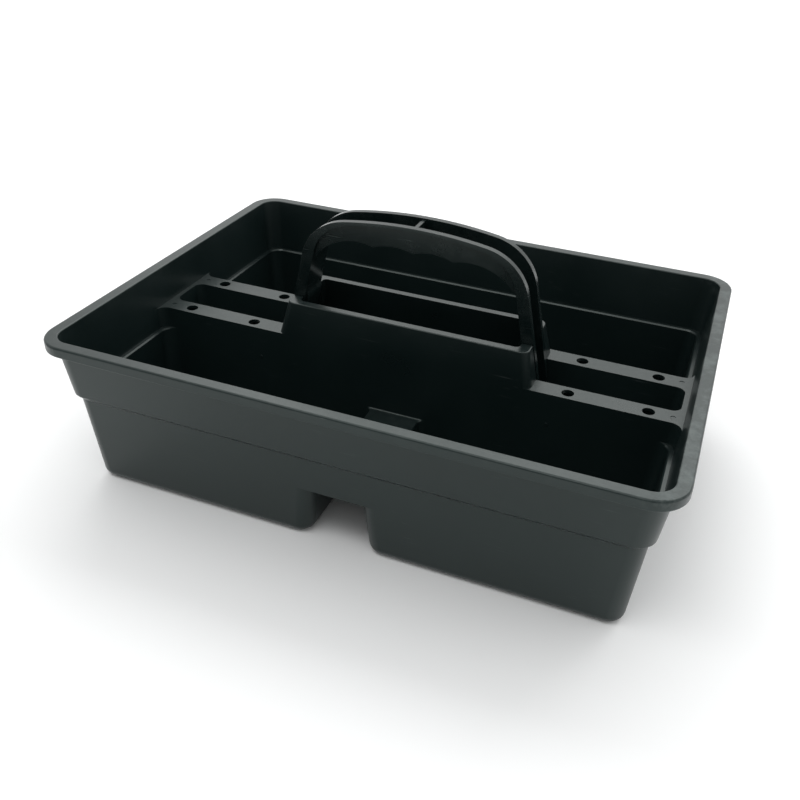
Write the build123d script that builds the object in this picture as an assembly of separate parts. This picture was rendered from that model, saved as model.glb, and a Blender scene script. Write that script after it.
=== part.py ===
from build123d import *

import math
import os

# Two-compartment cleaning caddy: an injection-moulded tub with a hollow central divider, and a
# separate carry handle that plugs into it.  Millimetres, +Z up, origin on the standing plane
# under the centre of the tub.  X runs along the divider, Y across the two compartments.

# ---- driving dimensions: tub ----
LENGTH = 380.0
WIDTH = 280.0
RIM_HEIGHT = 105.0
WALL = 2.3
RIM_WIDTH = 8.0
RIM_DROP = 6.5
RIM_LIP = 2.0
RIM_CORNER = 20.0
UPPER_CORNER_RIM = 14.3  # outside corner radius of the upper walls, under the rim
UPPER_CORNER_LEDGE = 12.3  # the same radius down at the ledge
LEDGE_HEIGHT = 66.0
LEDGE_WIDTH = 3.3
LEDGE_BREAK = 0.9  # how far the ledge's inner edge is broken
SHOULDER_HEIGHT = 62.0
UPPER_DRAFT = 4.5  # how far the upper walls lean in between rim and ledge
LOWER_DRAFT = 4.5  # how far the lower walls lean in between shoulder and feet
LOWER_CORNER = 10.0  # outside corner radius of the lower walls and of the feet
INNER_STEP = 1.5  # how much smaller each corner is inside the lower walls
FOOT_EDGE = 7.0
NOTCH_HEIGHT = 38.5
NOTCH_HALF_TOP = 15.0
NOTCH_HALF_FOOT = 19.0
SADDLE_CORNER = (6.0, 4.0)  # inside the feet where notch and divider meet, at the floor and at the top

# ---- driving dimensions: divider, tool trays and handle box ----
TRAY_HEIGHT = 80.0
DIVIDER_HALF_TRAY = 28.0
DIVIDER_HALF_FOOT = 35.0
DIVIDER_CORNER = 7.0  # where the divider meets the end walls above the ledge
HOLLOW_CORNER = 3.0
TROUGH_FLOOR = 58.0
WELL_HALF = 14.5
WELL_END = 176.0
WELL_CORNER = 6.0
WELL_DRAFT = 1.5
WELL_END_DRAFT = 2.0
TOOL_HOLE_RADIUS = 3.9
TOOL_HOLE_X = (109.0, 158.0)
TOOL_HOLE_Y = 21.5
BOX_HEIGHT = 102.3
BOX_HALF_TRAY = (87.0, 28.0)
BOX_HALF_TOP = (82.0, 23.8)
BOX_CORNER = 5.0
SLOT_HALF = 18.7
SLOT_END = 75.0
SLOT_DRAFT = 1.4
SLOT_END_DRAFT = 5.0
SLOT_CORNER = 3.0
PANEL_HOLLOW_TOP = 97.0
PANEL_HOLLOW_CORNER = 0.8
PANEL_END = 5.0  # solid length at each end of a raised panel
GAP_HALF = 13.0
GAP_END = 105.0
GAP_CORNER = 0.5
SOCKET_CENTRE = 87.0
SOCKET_SIZE = (8.8, 18.8)
SOCKET_CORNER = 1.0

# ---- driving dimensions: marks left by the mould ----
EJECTOR_PLACE = (172.5, 21.8)
EJECTOR_RADIUS = 1.6
EJECTOR_DEPTH = 0.3
GATE_PLACE = (100.0, 59.5)  # along the divider, and height
GATE_RADIUS = 1.1
GATE_HEIGHT = 1.05

# ---- driving dimensions: handle ----
HANDLE_HEIGHT = 163.0
HANDLE_CORNER = (71.0, 154.2)  # where the leg line meets the crown line
HANDLE_FOOT_X = 92.0
HANDLE_FOOT_Z = 58.5
HANDLE_FLOOR = 4.0  # thickness closing the channel at the bottom of each leg
CORNER_RADIUS = 35.0
LIP_HALF = 12.0  # half of the handle's depth across both lips
LEG_LIP = 7.8
CROWN_LIP = 2.1
LIP_CORNER = 28.5
CHANNEL_HALF = 10.0
CHANNEL_WALL = 2.2
LEG_DEPTH = 9.8
GRIP_DEPTH = 17.0
GRIP_CORNER = 16.0
CROWN_SAG = 1100.0  # twice the crown's radius of curvature
FINGER_PITCH = 25.0
FINGER_DEPTH = 2.2
FINGER_COUNT = 4
TONGUE_SIZE = (8.0, 18.0)
TONGUE_BOTTOM = 49.0
TONGUE_ROOT = 3.0  # how far each tongue reaches up into its leg
RIB_THICKNESS = 2.4
RIB_DROP = 1.2  # how far the rib's top lies below the lips

# ---- edge radii ----
RIM_TOP_RADIUS = 1.4
RIM_INNER_RADIUS = 0.9
RIM_LIP_RADIUS = 0.6
SADDLE_RADIUS = 1.2
BOX_TOP_RADIUS = 0.9

OVERRUN = 2.0  # how far a cutting solid runs past the face it cuts through
OVERLAP = 0.5  # how far two solids that become one reach into each other


def rounded_outline(x0, x1, y0, y1, corners, z):
    """A closed rectangle wire at height z; corners are the radii at (x0,y0), (x1,y0), (x1,y1), (x0,y1)."""
    a, b, c, d = corners
    bow = 1 - math.sqrt(0.5)
    edges = [
        Line((x0 + a, y0, z), (x1 - b, y0, z)),
        ThreePointArc((x1 - b, y0, z), (x1 - b * bow, y0 + b * bow, z), (x1, y0 + b, z)),
        Line((x1, y0 + b, z), (x1, y1 - c, z)),
        ThreePointArc((x1, y1 - c, z), (x1 - c * bow, y1 - c * bow, z), (x1 - c, y1, z)),
        Line((x1 - c, y1, z), (x0 + d, y1, z)),
        ThreePointArc((x0 + d, y1, z), (x0 + d * bow, y1 - d * bow, z), (x0, y1 - d, z)),
        Line((x0, y1 - d, z), (x0, y0 + a, z)),
        ThreePointArc((x0, y0 + a, z), (x0 + a * bow, y0 + a * bow, z), (x0 + a, y0, z)),
    ]
    return Wire(edges)


def tapered_block(low, high):
    """A drafted block between two outlines, each given as (x0, x1, y0, y1, corner radii, z)."""
    return Solid.make_loft([rounded_outline(*low), rounded_outline(*high)], ruled=True)


def centred(half_x, half_y, radius, z):
    """Outline data for a rectangle centred on the Z axis with equal corners."""
    return (-half_x, half_x, -half_y, half_y, (radius,) * 4, z)


def flat_edges(solid, z, half_x=LENGTH, half_y=WIDTH):
    """Edges that lie flat at height z, with their middles no further out than the given distances."""
    return [
        e
        for e in solid.edges()
        if all(abs(v.Z - z) < 1e-3 for v in e.vertices())
        and abs(e.center().X) < half_x
        and abs(e.center().Y) < half_y
    ]


def fillet_level(solid, z, radius, **limits):
    """Rounds the edges that lie flat at height z."""
    return solid.fillet(radius, flat_edges(solid, z, **limits))


# ---- how each wall's distance from the centre changes with height ----
def between(z, low, high, at_low, at_high):
    """A value that runs straight from one height to another, and on beyond them."""
    return at_low + (at_high - at_low) * (z - low) / (high - low)


def upper_inner(z):
    lean = between(z, LEDGE_HEIGHT, RIM_HEIGHT, UPPER_DRAFT, 0.0)
    return (LENGTH / 2 - RIM_WIDTH - lean, WIDTH / 2 - RIM_WIDTH - lean)


def upper_outer(z):
    x, y = upper_inner(z)
    return (x + WALL, y + WALL)


def upper_corner(z):
    return between(z, LEDGE_HEIGHT, RIM_HEIGHT, UPPER_CORNER_LEDGE, UPPER_CORNER_RIM)


def lower_outer(z):
    x, y = upper_inner(LEDGE_HEIGHT)
    lean = LEDGE_WIDTH - WALL + between(z, 0.0, SHOULDER_HEIGHT, LOWER_DRAFT, 0.0)
    return (x - lean, y - lean)


def lower_inner(z):
    x, y = lower_outer(z)
    return (x - WALL, y - WALL)


def divider_face(z):
    return between(z, 0.0, TRAY_HEIGHT, DIVIDER_HALF_FOOT, DIVIDER_HALF_TRAY)


def notch_half(z):
    return between(z, 0.0, NOTCH_HEIGHT, NOTCH_HALF_FOOT, NOTCH_HALF_TOP)


def saddle_corner(z):
    return between(z, WALL, NOTCH_HEIGHT + WALL, *SADDLE_CORNER)


def well_half(z):
    return between(z, TROUGH_FLOOR, TRAY_HEIGHT, WELL_HALF - WELL_DRAFT, WELL_HALF)


def slot_half(z):
    return between(z, TROUGH_FLOOR, BOX_HEIGHT, SLOT_HALF - SLOT_DRAFT, SLOT_HALF)


def box_half(z):
    return tuple(between(z, TRAY_HEIGHT, BOX_HEIGHT, low, top) for low, top in zip(BOX_HALF_TRAY, BOX_HALF_TOP))


# ---- the tub ----
def rim():
    """Flat rim with a turned-down lip, hollow underneath."""
    half_x, half_y = LENGTH / 2, WIDTH / 2
    lip_bottom = RIM_HEIGHT - RIM_DROP
    plate = tapered_block(
        centred(half_x, half_y, RIM_CORNER, lip_bottom), centred(half_x, half_y, RIM_CORNER, RIM_HEIGHT)
    )
    plate = fillet_level(plate, RIM_HEIGHT, RIM_TOP_RADIUS)
    under = tapered_block(
        centred(half_x - RIM_LIP, half_y - RIM_LIP, RIM_CORNER - RIM_LIP, lip_bottom - OVERRUN),
        centred(half_x - RIM_LIP, half_y - RIM_LIP, RIM_CORNER - RIM_LIP, RIM_HEIGHT - RIM_LIP),
    )
    return plate - under


def outer_envelope():
    """The tub's outside: upper wall, sloping shoulder, lower wall and four feet."""
    at_rim = centred(*upper_outer(RIM_HEIGHT), UPPER_CORNER_RIM, RIM_HEIGHT)
    at_ledge = centred(*upper_outer(LEDGE_HEIGHT), UPPER_CORNER_LEDGE, LEDGE_HEIGHT)
    at_shoulder = centred(*lower_outer(SHOULDER_HEIGHT), LOWER_CORNER, SHOULDER_HEIGHT)
    at_notch = centred(*lower_outer(NOTCH_HEIGHT), LOWER_CORNER, NOTCH_HEIGHT)
    upper = tapered_block(at_ledge, at_rim)
    shoulder = tapered_block(at_shoulder, at_ledge)
    lower = tapered_block(at_notch, at_shoulder)
    return upper + shoulder + lower + feet()


def foot_outline(z, offset, corners):
    """One foot's outline in the +X +Y quarter; offset moves every side inwards."""
    x, y = lower_outer(z)
    return (notch_half(z) + offset, x - offset, divider_face(z) - WALL + offset, y - offset, corners, z)


def in_four_quarters(quarter):
    """The +X +Y quarter's solid with its three mirror images."""
    pair = [quarter, quarter.mirror(Plane.YZ)]
    return pair + [p.mirror(Plane.XZ) for p in pair]


def feet():
    foot = tapered_block(*(foot_outline(z, 0.0, (LOWER_CORNER,) * 4) for z in (0.0, NOTCH_HEIGHT)))
    foot = fillet_level(foot, 0.0, FOOT_EDGE)
    return in_four_quarters(foot)


def foot_pockets():
    """The inside of each foot, down to its floor."""
    others = (LOWER_CORNER - INNER_STEP,) * 3
    pocket = tapered_block(
        *(foot_outline(z, WALL, (saddle_corner(z), *others)) for z in (WALL, NOTCH_HEIGHT + WALL))
    )
    pocket = fillet_level(pocket, WALL, FOOT_EDGE - WALL)
    return in_four_quarters(pocket)


def compartment_outline(z, wall, wall_corner, divider_corner):
    """A compartment's outline beside the divider, on the +Y side."""
    x, y = wall
    return (-x, x, divider_face(z), y, (divider_corner, divider_corner, wall_corner, wall_corner), z)


def compartments():
    """Both compartments above the feet: a pocket, its broken edge at the ledge and a wider space above."""
    corner = LOWER_CORNER - INNER_STEP
    low = NOTCH_HEIGHT + WALL
    edge_low = LEDGE_HEIGHT - LEDGE_BREAK
    x, y = lower_inner(edge_low)
    floor_outline = compartment_outline(low, lower_inner(low), corner, corner)
    edge_outline = compartment_outline(edge_low, (x, y), corner, corner)
    ledge_outline = compartment_outline(
        LEDGE_HEIGHT, (x + LEDGE_BREAK, y + LEDGE_BREAK), corner + LEDGE_BREAK, corner
    )
    wide_outlines = (
        compartment_outline(z, upper_inner(z), upper_corner(z) - WALL, DIVIDER_CORNER)
        for z in (LEDGE_HEIGHT, TRAY_HEIGHT)
    )
    pocket = tapered_block(floor_outline, edge_outline)
    broken_edge = tapered_block(edge_outline, ledge_outline)
    above = tapered_block(*wide_outlines)
    halves = [pocket, broken_edge, above]
    return halves + [h.mirror(Plane.XZ) for h in halves]


def space_above_tray():
    return tapered_block(
        *(centred(*upper_inner(z), upper_corner(z) - WALL, z) for z in (TRAY_HEIGHT, RIM_HEIGHT + OVERRUN))
    )


def divider_hollow():
    """The space under the divider and the tool trays, open between the feet."""
    bottom = NOTCH_HEIGHT - OVERRUN
    top = TRAY_HEIGHT - WALL
    return tapered_block(
        centred(lower_inner(bottom)[0], divider_face(bottom) - WALL, HOLLOW_CORNER, bottom),
        centred(lower_inner(SHOULDER_HEIGHT)[0], divider_face(top) - WALL, HOLLOW_CORNER, top),
    )


def trough_block(offset, floor):
    """The long trough down the divider: both tool-tray wells joined through the handle box."""
    end = WELL_END + offset
    radius = WELL_CORNER + offset
    return tapered_block(
        centred(end - WELL_END_DRAFT, well_half(TROUGH_FLOOR) + offset, radius, floor),
        centred(end, well_half(TRAY_HEIGHT) + offset, radius, TRAY_HEIGHT),
    )


def slot_block(offset, floor, top):
    """The slot between the raised panels, which reaches down to the trough's floor."""
    end = SLOT_END + offset
    radius = SLOT_CORNER + offset
    return tapered_block(
        centred(end + SLOT_END_DRAFT, slot_half(TROUGH_FLOOR) + offset, radius, floor),
        centred(end, slot_half(top) + offset, radius, top),
    )


def gap_block():
    """The gap through each end of the handle box, where the handle's legs stand."""
    return tapered_block(
        centred(GAP_END, GAP_HALF, GAP_CORNER, TRAY_HEIGHT - OVERLAP),
        centred(GAP_END, GAP_HALF, GAP_CORNER, BOX_HEIGHT + OVERRUN),
    )


def handle_box():
    """The two raised panels around the handle, drafted and closed round at both ends."""
    block = tapered_block(*(centred(*box_half(z), BOX_CORNER, z) for z in (TRAY_HEIGHT, BOX_HEIGHT)))
    return fillet_level(block, BOX_HEIGHT, BOX_TOP_RADIUS)


def panel_hollows():
    """The narrow space inside each raised panel, reached from below."""
    outlines = []
    for z in (TRAY_HEIGHT - WALL - OVERLAP, PANEL_HOLLOW_TOP):
        x, y = box_half(max(z, TRAY_HEIGHT))
        end = x - PANEL_END
        outlines.append((-end, end, slot_half(z) + WALL, y - WALL, (PANEL_HOLLOW_CORNER,) * 4, z))
    hollow = tapered_block(*outlines)
    return [hollow, hollow.mirror(Plane.XZ)]


def upright_cylinder(radius, x, y, low, high):
    return Solid.make_cylinder(radius, high - low, Plane(origin=(x, y, low)))


def at_both_ends_and_sides(x, y):
    return [(sx * x, sy * y) for sx in (-1, 1) for sy in (-1, 1)]


def tool_holes():
    """Holes through the tray strips for brush and squeegee handles."""
    low, high = TRAY_HEIGHT - WALL - OVERLAP, TRAY_HEIGHT + OVERLAP
    return [
        upright_cylinder(TOOL_HOLE_RADIUS, x, y, low, high)
        for along in TOOL_HOLE_X
        for x, y in at_both_ends_and_sides(along, TOOL_HOLE_Y)
    ]


def ejector_marks():
    """Shallow round witness marks left by the ejector pins near the ends of the strips."""
    return [
        upright_cylinder(EJECTOR_RADIUS, x, y, TRAY_HEIGHT - EJECTOR_DEPTH, TRAY_HEIGHT + OVERLAP)
        for x, y in at_both_ends_and_sides(*EJECTOR_PLACE)
    ]


def gate_marks():
    """Small raised points on the divider's faces, where the plastic was injected."""
    along, z = GATE_PLACE
    face = divider_face(z)
    return [
        Solid.make_cylinder(
            GATE_RADIUS, GATE_HEIGHT, Plane(origin=(x, math.copysign(face - OVERLAP, y), z), z_dir=(0, y, 0))
        )
        for x, y in at_both_ends_and_sides(along, face)
    ]


def sockets():
    """Rectangular sockets in the trough floor that take the handle's tongues."""
    half_x, half_y = (side / 2 for side in SOCKET_SIZE)
    blocks = []
    for middle in (-SOCKET_CENTRE, SOCKET_CENTRE):
        outline = (middle - half_x, middle + half_x, -half_y, half_y, (SOCKET_CORNER,) * 4)
        low, high = TROUGH_FLOOR - WALL - OVERRUN, TROUGH_FLOOR + OVERRUN
        blocks.append(tapered_block((*outline, low), (*outline, high)))
    return blocks


def tub():
    body = outer_envelope() + rim()
    body = body - space_above_tray() - compartments() - foot_pockets()
    body = body + handle_box()
    underside = TROUGH_FLOOR - WALL
    trough_outside = trough_block(WALL, underside) + slot_block(WALL, underside, TRAY_HEIGHT)
    body = body - (divider_hollow() - trough_outside) - panel_hollows()
    body = body - trough_block(0.0, TROUGH_FLOOR) - slot_block(0.0, TROUGH_FLOOR, BOX_HEIGHT + OVERRUN)
    body = body - gap_block() - tool_holes() - ejector_marks() - sockets()
    solid = body.solids()[0]
    inner_x, inner_y = upper_outer(RIM_HEIGHT)
    solid = fillet_level(solid, RIM_HEIGHT, RIM_INNER_RADIUS, half_x=inner_x, half_y=inner_y)
    solid = fillet_level(solid, NOTCH_HEIGHT + WALL, SADDLE_RADIUS, half_x=DIVIDER_HALF_FOOT)
    solid = fillet_level(solid, RIM_HEIGHT - RIM_DROP, RIM_LIP_RADIUS)
    return solid + gate_marks()


# ---- the handle ----
def leg_x(z):
    """Distance of the leg's outer edge from the centre at height z."""
    return between(z, HANDLE_FOOT_Z, HANDLE_CORNER[1], HANDLE_FOOT_X, HANDLE_CORNER[0])


def arch_face(inset_leg, inset_crown, foot_z, corner_radius):
    """The handle's silhouette in XZ, moved inwards by one depth on the legs and one on the crown."""
    foot_x = leg_x(foot_z) - inset_leg
    top_z = HANDLE_CORNER[1] - inset_crown
    top_x = leg_x(top_z) - inset_leg
    with BuildSketch(Plane.XZ) as sketch:
        with BuildLine():
            Line((-foot_x, foot_z), (-top_x, top_z))
            ThreePointArc((-top_x, top_z), (0, HANDLE_HEIGHT - inset_crown), (top_x, top_z))
            Line((top_x, top_z), (foot_x, foot_z))
            Line((foot_x, foot_z), (-foot_x, foot_z))
        make_face()
        fillet(sketch.vertices().sort_by(Axis.Y)[-2:], corner_radius)
    return sketch.sketch


def slab(face, half_depth):
    """A face in XZ thickened evenly to both sides of the XZ plane."""
    return extrude(face, amount=half_depth, both=True)


def finger_hollows():
    """Upright scallops under the grip, one for each finger."""
    radius = (FINGER_PITCH / 2) ** 2 / (2 * FINGER_DEPTH) + FINGER_DEPTH / 2
    half_depth = LIP_HALF + OVERRUN
    hollows = []
    for i in range(FINGER_COUNT):
        x = (i - (FINGER_COUNT - 1) / 2) * FINGER_PITCH
        underside = HANDLE_HEIGHT - GRIP_DEPTH - x * x / CROWN_SAG
        centre = (x, -half_depth, underside + FINGER_DEPTH - radius)
        plane = Plane(origin=centre, x_dir=(1, 0, 0), z_dir=(0, 1, 0))
        hollows.append(Solid.make_cylinder(radius, 2 * half_depth, plane))
    return hollows


def handle():
    """An arch with an outward-open channel, lips along both its edges, a scalloped grip and two tongues."""
    outline = arch_face(0.0, 0.0, HANDLE_FOOT_Z, CORNER_RADIUS)
    below = HANDLE_FOOT_Z - OVERRUN
    lip_window = arch_face(LEG_LIP, CROWN_LIP, below, LIP_CORNER)
    lips = slab(outline, LIP_HALF) - slab(lip_window, LIP_HALF + OVERRUN)
    grip_window = arch_face(LEG_DEPTH, GRIP_DEPTH, below, GRIP_CORNER)
    channel = slab(outline, CHANNEL_HALF) - slab(grip_window, CHANNEL_HALF + OVERRUN) - finger_hollows()

    inside_half = CHANNEL_HALF - CHANNEL_WALL
    beyond = arch_face(-OVERRUN, -OVERRUN, HANDLE_FOOT_Z + HANDLE_FLOOR, CORNER_RADIUS + OVERRUN)
    floor_line = arch_face(
        LEG_DEPTH - CHANNEL_WALL, GRIP_DEPTH - CHANNEL_WALL - FINGER_DEPTH, below, GRIP_CORNER + CHANNEL_WALL
    )
    inside = slab(beyond, inside_half) - slab(floor_line, inside_half + OVERRUN)
    return lips + channel - inside + crown_rib() + tongues()


def crown_rib():
    """The cross rib at the crown, joining both sides over the channel."""
    low = HANDLE_HEIGHT - GRIP_DEPTH + FINGER_DEPTH + OVERLAP
    high = HANDLE_HEIGHT - RIB_DROP
    width = 2 * (CHANNEL_HALF - CHANNEL_WALL + OVERLAP)
    return Box(RIB_THICKNESS, width, high - low).moved(Location((0, 0, (low + high) / 2)))


def tongues():
    """The two tongues that plug into the trough's sockets."""
    size_x, size_y = TONGUE_SIZE
    height = HANDLE_FOOT_Z + TONGUE_ROOT - TONGUE_BOTTOM
    tongue = Box(size_x, size_y, height)
    middle = TONGUE_BOTTOM + height / 2
    return [tongue.moved(Location((x, 0, middle))) for x in (-SOCKET_CENTRE, SOCKET_CENTRE)]


def write(node, shape):
    shape.label = node
    export_step(shape, os.path.join("parts", node + ".step"))
    print(node, "solids", len(shape.solids()), "volume", round(shape.volume), "mm3")


os.makedirs("parts", exist_ok=True)
write("tub", tub())
write("carry_handle", handle())
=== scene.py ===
# %% [markdown]
# # A housekeeping caddy in moulded plastic
#
# The real object is two injection mouldings: an open tub with a hollow divider, and a carry handle that
# plugs into it. Both come from the CAD frame with their true shape, so Blender's work here is
# light, camera and above all the surface: what dark moulded polypropylene looks like new and after use.

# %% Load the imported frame
import math

import bpy
from mathutils import Matrix, Vector


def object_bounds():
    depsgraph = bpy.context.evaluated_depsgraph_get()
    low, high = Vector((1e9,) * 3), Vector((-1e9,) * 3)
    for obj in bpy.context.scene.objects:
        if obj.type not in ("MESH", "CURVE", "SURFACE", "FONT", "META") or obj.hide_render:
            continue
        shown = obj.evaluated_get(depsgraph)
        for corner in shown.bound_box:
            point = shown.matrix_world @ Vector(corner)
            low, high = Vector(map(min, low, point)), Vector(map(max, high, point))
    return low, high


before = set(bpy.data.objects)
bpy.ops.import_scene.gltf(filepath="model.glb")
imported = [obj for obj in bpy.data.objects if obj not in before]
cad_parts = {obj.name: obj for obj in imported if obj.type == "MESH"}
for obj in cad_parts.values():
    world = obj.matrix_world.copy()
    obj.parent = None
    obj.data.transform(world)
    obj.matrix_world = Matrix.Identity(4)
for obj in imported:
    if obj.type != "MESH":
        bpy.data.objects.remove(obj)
cad_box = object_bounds()
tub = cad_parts["tub"]
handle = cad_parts["carry_handle"]
print("CAD box in metres:", [tuple(round(v, 4) for v in corner) for corner in cad_box])

# %% [markdown]
# ## Units and colour
#
# Blender works in metres and in linear light. Sizes below are easier to read in millimetres and colours
# in the sRGB hex codes of a paint chart, so two small helpers turn one into the other.

# %% Helpers for millimetres and colour
MM = 0.001


def linear(hex_code):
    """An sRGB hex colour such as '3a4240' as linear red, green, blue and alpha 1."""
    channels = [int(hex_code[i : i + 2], 16) / 255 for i in (0, 2, 4)]
    return [c / 12.92 if c <= 0.04045 else ((c + 0.055) / 1.055) ** 2.4 for c in channels] + [1.0]


CHARCOAL = "111b1b"  # the tub
DEEP_CHARCOAL = "0e1717"  # the handle
# pale of worn spots; at the right-hand end this pale also paints a highlight
WORN_AND_HIGHLIGHT_TUB = "8d9694"
WORN_AND_HIGHLIGHT_HANDLE = "949c9a"
SETTLED_DUST = "777b77"
SHEEN = "ecf8f4"  # a chosen tint that stands in for slightly cool light; bare plastic doesn't tint highlights
print("charcoal in linear light:", [round(c, 3) for c in linear(CHARCOAL)])

# %% [markdown]
# ## Softened mould edges
#
# No edge of a moulding is knife sharp: the steel of the mould is broken with a stone, so each edge carries
# a radius of a few tenths of a millimetre that catches a thin line of light. The mesh could be beveled by
# hand, or the shader could fake it. A weld and a bevel modifier are used here, because they add real
# faces, which also show in silhouettes and in an exported model, and leave the CAD mesh as it is. Weighted
# normals come last: they let the big flat walls decide the shading, so the walls stay flat to the eye.

# %% Round the edges with modifiers
EDGE_RADIUS = 0.45 * MM
SHARP_ANGLE = math.radians(28)


def break_edges(piece, radius):
    """Joins split vertices, then rounds every edge sharper than SHARP_ANGLE."""
    weld = piece.modifiers.new("join_corners", "WELD")
    weld.merge_threshold = 0.01 * MM
    bevel = piece.modifiers.new("broken_edges", "BEVEL")
    bevel.width = radius
    bevel.segments = 2
    bevel.limit_method = "ANGLE"
    bevel.angle_limit = SHARP_ANGLE
    bevel.harden_normals = True
    bevel.use_clamp_overlap = True
    flat = piece.modifiers.new("flat_walls", "WEIGHTED_NORMAL")
    flat.mode = "FACE_AREA"
    flat.weight = 100
    flat.keep_sharp = False
    for polygon in piece.data.polygons:
        polygon.use_smooth = True


break_edges(tub, EDGE_RADIUS)
break_edges(handle, EDGE_RADIUS)
print("edges broken on", tub.name, "and", handle.name)

# %% [markdown]
# ## A node helper
#
# A procedural material is a small graph of nodes. One function adds any node, sets its properties and
# fills or links its inputs, so that each material below reads as a list of what feeds what.


# %% Add a node with its settings and links
def node(tree, kind, settings=None, **inputs):
    """A new node; an input is named, or numbered as i0, i1, and takes a value or an output socket."""
    made = tree.nodes.new(kind)
    for name, value in (settings or {}).items():
        setattr(made, name, value)
    for name, value in inputs.items():
        key = int(name[1:]) if name[0] == "i" and name[1:].isdigit() else name.replace("_", " ")
        socket = made.inputs[key]
        if isinstance(value, bpy.types.NodeSocket):
            tree.links.new(value, socket)
        else:
            socket.default_value = value
    return made


# %% [markdown]
# ## Wear, dust and a painted highlight
#
# A caddy is set down, stacked and wiped every day. What sticks out furthest gets rubbed paler and duller:
# the rim, the crown of the handle, and most of all the right-hand end, which is the one that gets knocked.
# At that end the paler patches on the rim and its inner wall are partly a painted highlight.
# Thin scratches break up the walls and a little dust settles on the level faces. Each is a mask between
# 0 and 1. It could follow the mesh's own edges, but on large flat CAD faces that smears, so position
# decides where the wear may be, and noise breaks it up.

# %% Masks for wear, scratches, dust and a painted highlight
SCUFF_AND_HIGHLIGHT_PATCH = 14 * MM  # typical length of a scuffed patch, and of a patch of painted highlight
SCRATCH = 26 * MM  # typical length of a scratch
THINNESS = 30  # a scratch is about this many times longer than it is wide
DUST = 3 * MM  # size of the specks that settled dust clusters into
RUB_HEIGHT = 96 * MM  # what stands higher than this rubs against things
RUB_RISE = 9 * MM  # over this height the rubbing sets in
KNOCK_AND_HIGHLIGHT_END = 165 * MM  # further to the right than this the caddy gets knocked, and a highlight is painted in
KNOCK_AND_HIGHLIGHT_REACH = 18 * MM  # over this length the knocks and the painted highlight set in
SHELTERED = 0.08  # how much of the wear there is away from the knocked end


def ramp(tree, value, start, end):
    """0 up to start, 1 beyond end."""
    return node(tree, "ShaderNodeMapRange", Value=value, From_Min=start, From_Max=end).outputs[0]


def product(tree, first, second):
    multiply = {"operation": "MULTIPLY", "use_clamp": True}
    return node(tree, "ShaderNodeMath", multiply, i0=first, i1=second).outputs[0]


def product_plus(tree, first, second, more):
    multiply_add = {"operation": "MULTIPLY_ADD", "use_clamp": True}
    return node(tree, "ShaderNodeMath", multiply_add, i0=first, i1=second, i2=more).outputs[0]


def scuff_and_highlight_mask(tree, place):
    """Paler where the caddy rubs against things and the noise says that it did; at the right-hand end partly
    a painted highlight.
    """
    axes = node(tree, "ShaderNodeSeparateXYZ", Vector=place).outputs
    high = ramp(tree, axes["Z"], RUB_HEIGHT, RUB_HEIGHT + RUB_RISE)
    right = ramp(tree, axes["X"], KNOCK_AND_HIGHLIGHT_END, KNOCK_AND_HIGHLIGHT_END + KNOCK_AND_HIGHLIGHT_REACH)
    # the right-hand end, where the paler patches are knocks and partly a painted highlight
    knocked_and_highlit = product_plus(tree, right, 1 - SHELTERED, SHELTERED)
    noise = node(tree, "ShaderNodeTexNoise", Vector=place, Scale=1 / SCUFF_AND_HIGHLIGHT_PATCH, Detail=8.0, Roughness=0.72)
    rubbed_and_highlit = ramp(tree, noise.outputs["Fac"], 0.47, 0.70)
    return product(tree, product(tree, high, knocked_and_highlit), rubbed_and_highlit)


def scratch_mask(tree, place, turn):
    """Thin broken lines; another turn gives another set that doesn't coincide with the first."""
    stretch = (1 / SCRATCH, THINNESS / SCRATCH, THINNESS / SCRATCH)
    laid = node(tree, "ShaderNodeMapping", Vector=place, Rotation=turn, Scale=stretch).outputs[0]
    lines = node(
        tree, "ShaderNodeTexNoise", Vector=laid, Scale=1.0, Detail=2.0, Roughness=0.5, Distortion=0.4
    )
    where = node(tree, "ShaderNodeTexNoise", Vector=place, Scale=0.6 / SCRATCH, Detail=2.0)
    thin = ramp(tree, lines.outputs["Fac"], 0.70, 0.76)
    return product(tree, thin, ramp(tree, where.outputs["Fac"], 0.50, 0.62))


def dust_mask(tree, place):
    """Settles on what faces up."""
    normal = node(tree, "ShaderNodeNewGeometry").outputs["Normal"]
    upward = node(tree, "ShaderNodeSeparateXYZ", Vector=normal).outputs["Z"]
    noise = node(tree, "ShaderNodeTexNoise", Vector=place, Scale=1 / DUST, Detail=6.0, Roughness=0.75)
    return product(tree, ramp(tree, upward, 0.5, 0.95), ramp(tree, noise.outputs["Fac"], 0.45, 0.80))


print("masks ready")

# %% [markdown]
# ## Moulded polypropylene
#
# The caddy is polypropylene with a carbon-black masterbatch and a trace of green. Almost nothing comes
# back from inside such a plastic: it shows its form by its waxy skin, with an IOR of about 1.49 and a soft
# satin gloss. That is why level faces that mirror the sky look grey, and upright ones nearly black. The
# gloss varies in broad patches, left by flow in the mould and by wiping, and the fine grain of the mould is
# a bump of less than a tenth of a millimetre. Two choices here are for the look and aren't facts about
# the plastic: how dark the body is, and the slight tint of the highlights.

# %% The polypropylene material
GRAIN = 0.9 * MM  # the real grain is nearer 0.2 mm, drawn coarser so that it shows at this distance
PATCH = 60 * MM  # breadth of the glossier and duller patches
GRAIN_DEPTH = 0.05 * MM
GRAIN_STRENGTH = 0.12
PATCH_GAIN = 1.25  # how much paler the palest patch is than the body
PATCH_GLOSS = (-0.05, 0.06)  # roughness added in the glossiest and the dullest patch
SCRATCH_SHARE = 0.35  # how far a scratch counts as wear
WORN_AND_HIGHLIGHT_SHARE = 0.35  # how far full wear, with the painted highlight, hides the body's colour
DUST_SHARE = 0.08  # how far full dust hides it
WORN_GAIN = 0.25  # how much rougher a fully scuffed spot is
POLYPROPYLENE_IOR = 1.49
TUB_ROUGHNESS = 0.32
HANDLE_ROUGHNESS = 0.25  # hands polish it


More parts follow.
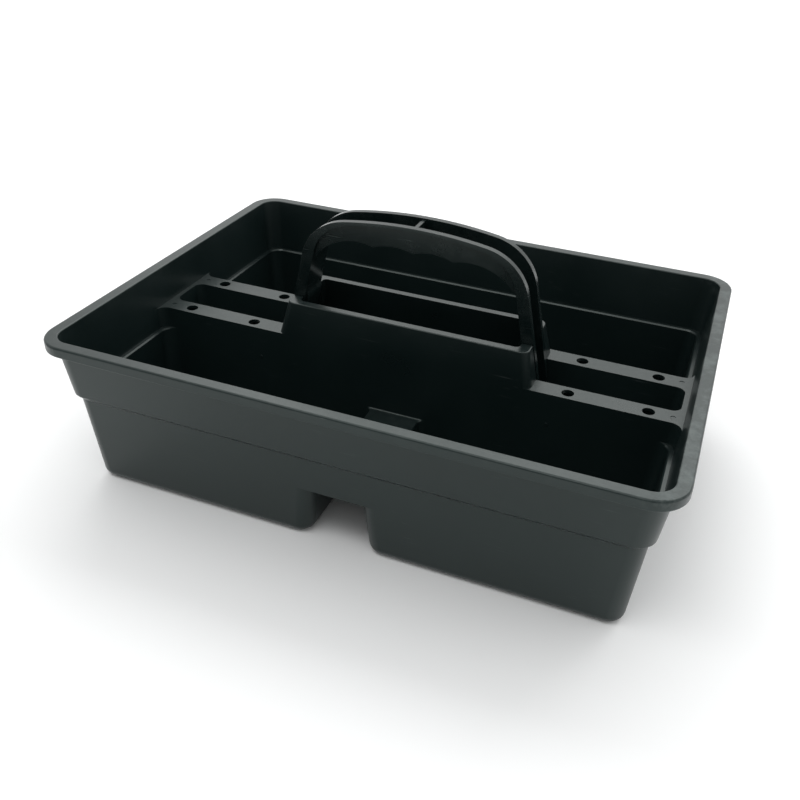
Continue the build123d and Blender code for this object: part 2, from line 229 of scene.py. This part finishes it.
def mixed(tree, share, under, over):
    """One colour laid over another by a share from 0 to 1."""
    return node(tree, "ShaderNodeMix", {"data_type": "RGBA"}, i0=share, i6=under, i7=over).outputs[2]


def polypropylene(name, body_hex, worn_and_highlight_hex, roughness):
    material = bpy.data.materials.new(name)
    material.use_nodes = True
    tree = material.node_tree
    tree.nodes.clear()
    place = node(tree, "ShaderNodeTexCoord").outputs["Object"]
    grain = node(tree, "ShaderNodeTexNoise", Vector=place, Scale=1 / GRAIN, Detail=3.0, Roughness=0.6)
    patch = node(tree, "ShaderNodeTexNoise", Vector=place, Scale=1 / PATCH, Detail=4.0, Roughness=0.55)
    tone = ramp(tree, patch.outputs["Fac"], 0.3, 0.7)
    paler = [c * PATCH_GAIN for c in linear(body_hex)[:3]] + [1.0]
    body = mixed(tree, tone, linear(body_hex), paler)
    first_set = scratch_mask(tree, place, (0.0, 0.0, 0.12))
    second_set = scratch_mask(tree, place, (0.0, 0.1, 1.45))
    scratches = node(tree, "ShaderNodeMath", {"operation": "MAXIMUM"}, i0=first_set, i1=second_set).outputs[0]
    wear_and_highlight = product_plus(tree, scratches, SCRATCH_SHARE, scuff_and_highlight_mask(tree, place))
    # paler where worn; at the right-hand end partly a painted highlight
    rubbed_and_highlit = mixed(tree, product(tree, wear_and_highlight, WORN_AND_HIGHLIGHT_SHARE), body, linear(worn_and_highlight_hex))
    dusty = mixed(tree, product(tree, dust_mask(tree, place), DUST_SHARE), rubbed_and_highlit, linear(SETTLED_DUST))
    gloss = node(
        tree, "ShaderNodeMapRange", Value=tone, From_Min=0.0, From_Max=1.0,
        To_Min=roughness + PATCH_GLOSS[0], To_Max=roughness + PATCH_GLOSS[1],
    )
    rough = product_plus(tree, wear_and_highlight, WORN_GAIN, gloss.outputs[0])
    bump = node(
        tree, "ShaderNodeBump", Height=grain.outputs["Fac"], Strength=GRAIN_STRENGTH, Distance=GRAIN_DEPTH
    )
    shader = node(
        tree, "ShaderNodeBsdfPrincipled",
        Base_Color=dusty, Roughness=rough, Normal=bump.outputs[0],
        IOR=POLYPROPYLENE_IOR, Specular_Tint=linear(SHEEN),
    )
    node(tree, "ShaderNodeOutputMaterial", Surface=shader.outputs[0])
    return material


tub_plastic = polypropylene("charcoal_polypropylene_tub", CHARCOAL, WORN_AND_HIGHLIGHT_TUB, TUB_ROUGHNESS)
handle_plastic = polypropylene(
    "charcoal_polypropylene_handle", DEEP_CHARCOAL, WORN_AND_HIGHLIGHT_HANDLE, HANDLE_ROUGHNESS
)
for piece, material in ((tub, tub_plastic), (handle, handle_plastic)):
    piece.data.materials.clear()
    piece.data.materials.append(material)
print("materials:", [m.name for m in bpy.data.materials])

# %% [markdown]
# ## The floor
#
# The caddy stands on plain white paper, wide enough to fill the picture.

# %% Floor
centre = (cad_box[0] + cad_box[1]) / 2
FLOOR_SIDE = 12.0
WHITE_PAPER = "fbfcfc"
PAPER_ROUGHNESS = 0.9


def studio_floor():
    mesh = bpy.data.meshes.new("studio_floor")
    half = FLOOR_SIDE / 2
    corners = [(-half, -half, 0), (half, -half, 0), (half, half, 0), (-half, half, 0)]
    mesh.from_pydata(corners, [], [(0, 1, 2, 3)])
    floor = bpy.data.objects.new("studio_floor", mesh)
    bpy.context.scene.collection.objects.link(floor)
    material = bpy.data.materials.new("matt_white_paper")
    material.use_nodes = True
    shader = material.node_tree.nodes["Principled BSDF"]
    shader.inputs["Base Color"].default_value = linear(WHITE_PAPER)
    shader.inputs["Roughness"].default_value = PAPER_ROUGHNESS
    mesh.materials.append(material)
    return floor


floor = studio_floor()
print("floor laid,", FLOOR_SIDE, "m square")

# %% [markdown]
# ## The studio lights
#
# Satin black is lit by what it mirrors. A wide soft panel behind the caddy and above it lays a grey sheen
# on every face that looks up: the rim, the tool trays, the tops of the handle's lips. A weak narrow box
# high in front lifts the rounded edges. Little else shines at the front, so the fronts of the divider and
# the handle stay dark, and the outer front wall is drawn by the pale floor that it mirrors. A white
# surround keeps the paper white. It gets darker toward the camera's side, like the unlit end of a studio,
# which was chosen because it darkens the handle's near face.


# %% Lights
BACK_PANEL_WATTS = 38
EDGE_LIGHT_WATTS = 6
SURROUND_DEPTHS = (-0.9, 0.1)  # how far toward the camera's side the surround is darkest and brightest
SURROUND_LEVELS = (0.36, 1.0)


def soft_box(name, place, target, width, height, watts):
    light = bpy.data.lights.new(name, "AREA")
    light.shape = "RECTANGLE"
    light.size = width
    light.size_y = height
    light.energy = watts
    lamp = bpy.data.objects.new(name, light)
    lamp.location = place
    lamp.rotation_euler = (Vector(target) - Vector(place)).to_track_quat("-Z", "Y").to_euler()
    bpy.context.scene.collection.objects.link(lamp)
    return lamp


back_panel = soft_box("back_panel", (-0.1, 1.75, 2.1), centre, 3.4, 1.6, BACK_PANEL_WATTS)
edge_light = soft_box("edge_light", (-0.3, -0.7, 1.6), centre, 1.2, 0.5, EDGE_LIGHT_WATTS)
world = bpy.data.worlds.new("studio")
bpy.context.scene.world = world
world.use_nodes = True
surround = world.node_tree.nodes["Background"]
surround.inputs["Color"].default_value = linear("ffffff")
toward = node(world.node_tree, "ShaderNodeTexCoord").outputs["Generated"]
depth = node(world.node_tree, "ShaderNodeSeparateXYZ", Vector=toward).outputs["Y"]
fall = node(
    world.node_tree, "ShaderNodeMapRange", Value=depth,
    From_Min=SURROUND_DEPTHS[0], From_Max=SURROUND_DEPTHS[1],
    To_Min=SURROUND_LEVELS[0], To_Max=SURROUND_LEVELS[1],
)
world.node_tree.links.new(fall.outputs[0], surround.inputs["Strength"])
print("lights:", back_panel.name, edge_light.name)

# %% [markdown]
# ## Camera
#
# A product camera on a tripod, a little to the right and looking down by about a third of a right angle,
# close enough to give the long sides a clear perspective. The tripod head isn't quite level.

# %% Camera
AZIMUTH = math.radians(19.9)
ELEVATION = math.radians(33.0)
ROLL = math.radians(2.54)
STAND = Vector((0.1757, -0.4828, 0.3628))
SENSOR_WIDTH = 36  # millimetres, like the focal length
FOCAL_LENGTH = 39.5
SHIFT = (-0.0161, 0.0062)


def product_camera():
    level = math.cos(ELEVATION)
    back = Vector((math.sin(AZIMUTH) * level, -math.cos(AZIMUTH) * level, math.sin(ELEVATION)))
    data = bpy.data.cameras.new("product_camera")
    data.sensor_width = SENSOR_WIDTH
    data.lens = FOCAL_LENGTH
    data.shift_x, data.shift_y = SHIFT
    camera = bpy.data.objects.new("product_camera", data)
    aim = (-back).to_track_quat("-Z", "Y").to_matrix().to_4x4()
    camera.matrix_world = Matrix.Translation(STAND) @ aim @ Matrix.Rotation(ROLL, 4, "Z")
    bpy.context.scene.collection.objects.link(camera)
    bpy.context.scene.camera = camera
    return camera


camera = product_camera()
bpy.context.scene.view_settings.view_transform = "Standard"
print("camera at", [round(v, 3) for v in camera.matrix_world.translation])
